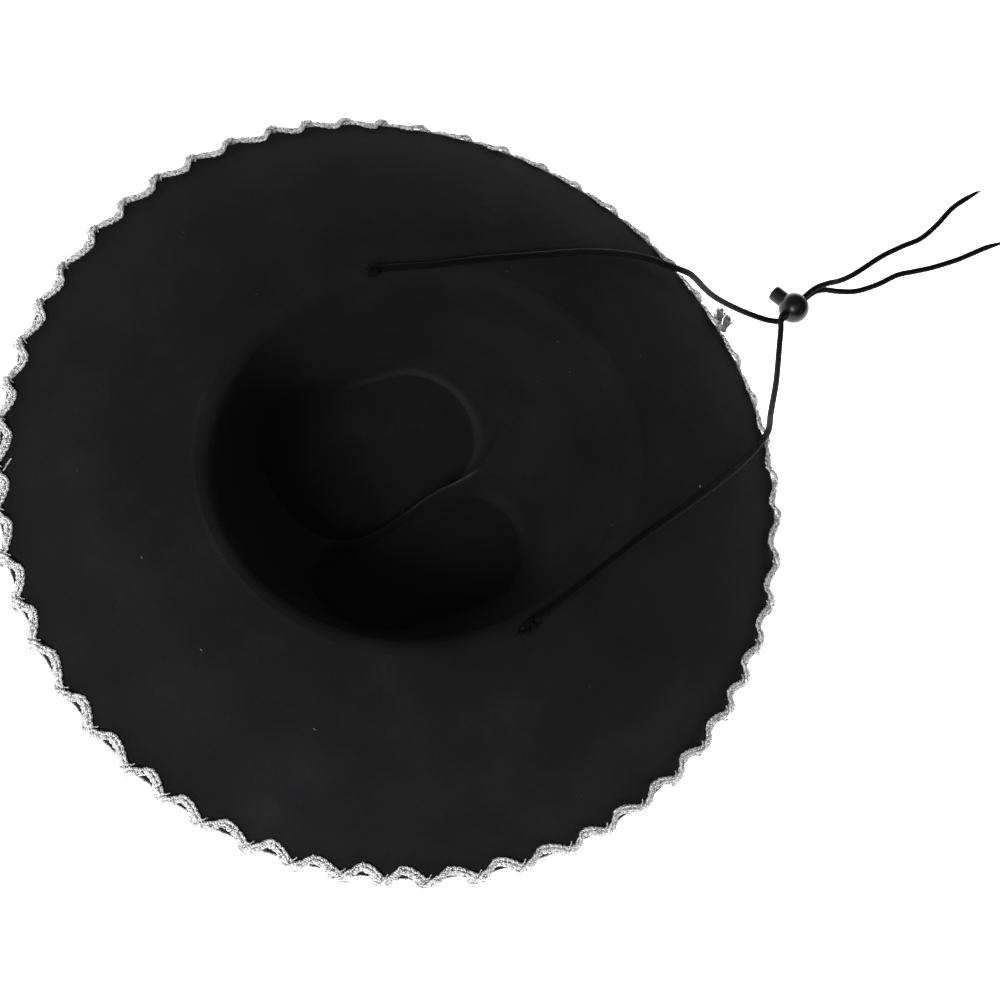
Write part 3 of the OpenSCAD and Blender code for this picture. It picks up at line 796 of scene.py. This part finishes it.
RING_R = 143.0
RING_WAVES, BAND_WAVES = 34, 22
N_RING = RING_WAVES * 60
ring_a = np.arange(N_RING) * TURN / N_RING
ring_slope = float(brim_slope(RING_R))
radial = np.stack([np.cos(ring_a), np.sin(ring_a), np.zeros(N_RING)], 1)
ring_down = -radial * math.sin(ring_slope) - np.array([0, 0, math.cos(ring_slope)])
ring_side = radial * math.cos(ring_slope) - np.array([0, 0, math.sin(ring_slope)])
wave_here = brim_wave(ring_a, np.full(N_RING, RING_R))
ring_path = with_z(RING_R * radial[:, :2], float(brim_z(RING_R)) + wave_here) + ring_down * (FELT_T + 1.5)
plait(ring_path, ring_down, ring_side, RING_WAVES).make(
    "brim_ring_plait", TINSEL, "silver_braid", replaces=("brim_ring_braid",))

N_BAND = BAND_WAVES * 60
band_a = np.arange(N_BAND) * TURN / N_BAND
band_u = np.stack([np.cos(band_a), np.sin(band_a)], -1)


def band_edge(hw, hl, n, lean, down):
    """One edge of the crown band: an oval round the leaning crown, at a distance down from the mouth."""
    return with_z(oval(band_a, hw, hl, n) + lean * CROWN_LEAN + PLAIT_OFF_FELT * band_u, CROWN_H - down)


low = band_edge(MOUTH_HW - 5.8, MOUTH_HL - 10, 2.2, 0.33, 29)
high = band_edge(MOUTH_HW - 2.4, MOUTH_HL - 4, 2.15, 0.17, 16)
band_side = unit(high - low)
band_out = unit(np.cross(np.roll(low, -1, axis=0) - np.roll(low, 1, axis=0), band_side))
plait((low + high) / 2, band_out, band_side, BAND_WAVES).make(
    "crown_band_plait", TINSEL, "silver_braid", replaces=("crown_band_braid",))


# ---------------------------------------------------------------- stitches that show on the mouth side

stitches = Piece()
across = np.linspace(-1, 1, 7)
for degrees in (92, 112, 137, 246):
    a = math.radians(degrees) + across * 0.55 / RING_R
    r = np.full(7, RING_R)
    z = brim_z(RING_R) + brim_wave(a, r) + felt_waver(a, r) + 0.3 - 0.4 * across ** 2
    loop = smooth_path(np.stack([RING_R * np.cos(a), RING_R * np.sin(a), z], -1), 3)
    stitches.tube(loop, plied(loop, 0.22, 6, 1.2), 6)
stitches.make("tack_stitch_loops", GREY_TINSEL, "silver_thread", replaces=("tack_stitches",))


# ---------------------------------------------------------------- stopper knots of the chin cords

HOLE_X, HOLE_Y = MOUTH_HW + 4, -9.0
KNOT_YARN_R = 1.35


def knot_path(centre, along, long, wide, high, start=0.0):
    """Tight overhand knot, stretched along one direction; start turns its over and under places."""
    t = np.linspace(0, TURN, 73) + start
    across = np.array([-along[1], along[0], 0.0])
    x = (np.sin(t) + 2 * np.sin(2 * t)) / 2.6
    y = (np.cos(t) - 2 * np.cos(2 * t)) / 2.6
    z = -np.sin(3 * t)
    return centre + np.outer(x * long, along) + np.outer(y * wide, across) + np.outer(z * high, [0, 0, 1.0])


def stopper_knot(label, side, centre, along, long):
    along = unit(along)
    knot = Piece()
    top = knot_path(np.array(centre), along, long, 2.0, 1.35)
    knot.tube(top, braided_radius(top, 16, KNOT_YARN_R, pitch=4.5, depth=0.2), 16)
    middle = np.array([side * HOLE_X, HOLE_Y, 0])
    under = knot_path(middle + [0, 0, CROWN_H - FELT_T - 3.4], unit([0.4, 1, 0]), 2.6, 2.2, 1.4, 0.8)
    knot.tube(under, braided_radius(under, 16, KNOT_YARN_R, pitch=4.5, depth=0.2), 16)
    neck = middle + np.outer(np.linspace(-FELT_T - 4, 3.2, 22), [0, 0, 1.0]) + [0, 0, CROWN_H]
    knot.tube(neck, braided_radius(neck, 16, CORD_D / 2 - 0.1, pitch=4.5), 16)
    knot.make(f"cord_knot_{label}", CORD, "cord", replaces=(f"cord_anchor_{label}",))


stopper_knot("left", 1, (94.6, -8.6, 114.9), (-0.3, -0.95, 0), 2.9)
stopper_knot("right", -1, (-96.6, -11.0, 114.9), (0.5, -0.87, 0), 4.6)


# ---------------------------------------------------------------- cord lock, moulded with soft edges

def softened(node, name, voxel, material, body):
    """Copy of a CAD solid with its edges rounded as moulded plastic's are."""
    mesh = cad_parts[node].data.copy()
    ob = bpy.data.objects.new(name, mesh)
    bpy.context.scene.collection.objects.link(ob)
    remesh = ob.modifiers.new("remesh", "REMESH")
    remesh.mode = "VOXEL"
    remesh.voxel_size = voxel
    relax = ob.modifiers.new("relax", "SMOOTH")
    relax.factor = 0.5
    relax.iterations = 5
    bpy.context.view_layer.update()
    done = bpy.data.meshes.new_from_object(ob.evaluated_get(bpy.context.evaluated_depsgraph_get()))
    ob.modifiers.clear()
    ob.data = done
    done.name = name
    done.materials.clear()
    done.materials.append(material)
    done.polygons.foreach_set("use_smooth", [True] * len(done.polygons))
    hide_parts(node)
    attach(ob, body)


softened("lock_body", "lock_ball", 0.00020, GLOSS, "cord_lock")
softened("lock_plunger", "lock_button", 0.00018, SATIN, "plunger")
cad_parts["lock_spring"].data.materials.clear()
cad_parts["lock_spring"].data.materials.append(steel_material())


# ---------------------------------------------------------------- floor and light

floor_mesh = bpy.data.meshes.new("floor")
floor_mesh.from_pydata([(-6, -6, 0), (6, -6, 0), (6, 6, 0), (-6, 6, 0)], [], [(0, 1, 2, 3)])
floor_mesh.materials.append(floor_material())
floor = bpy.data.objects.new("floor", floor_mesh)
bpy.context.scene.collection.objects.link(floor)

world = bpy.data.worlds.new("studio")
bpy.context.scene.world = world
world.use_nodes = True
world.node_tree.nodes["Background"].inputs["Color"].default_value = (1, 1, 1, 1)
world.node_tree.nodes["Background"].inputs["Strength"].default_value = 0.12
bpy.context.scene.view_settings.view_transform = "Standard"


def area_light(name, position, target, size, power):
    data = bpy.data.lights.new(name, "AREA")
    data.shape = "SQUARE"
    data.size = size
    data.energy = power
    ob = bpy.data.objects.new(name, data)
    ob.location = position
    ob.rotation_euler = (Vector(target) - Vector(position)).to_track_quat("-Z", "Y").to_euler()
    bpy.context.scene.collection.objects.link(ob)


area_light("key", (-0.60, 1.33, 1.42), (0, 0, 0.05), 0.7, 33)
area_light("fill", (-0.5, 0.2, 1.9), (0, 0, 0.08), 1.5, 2.5)
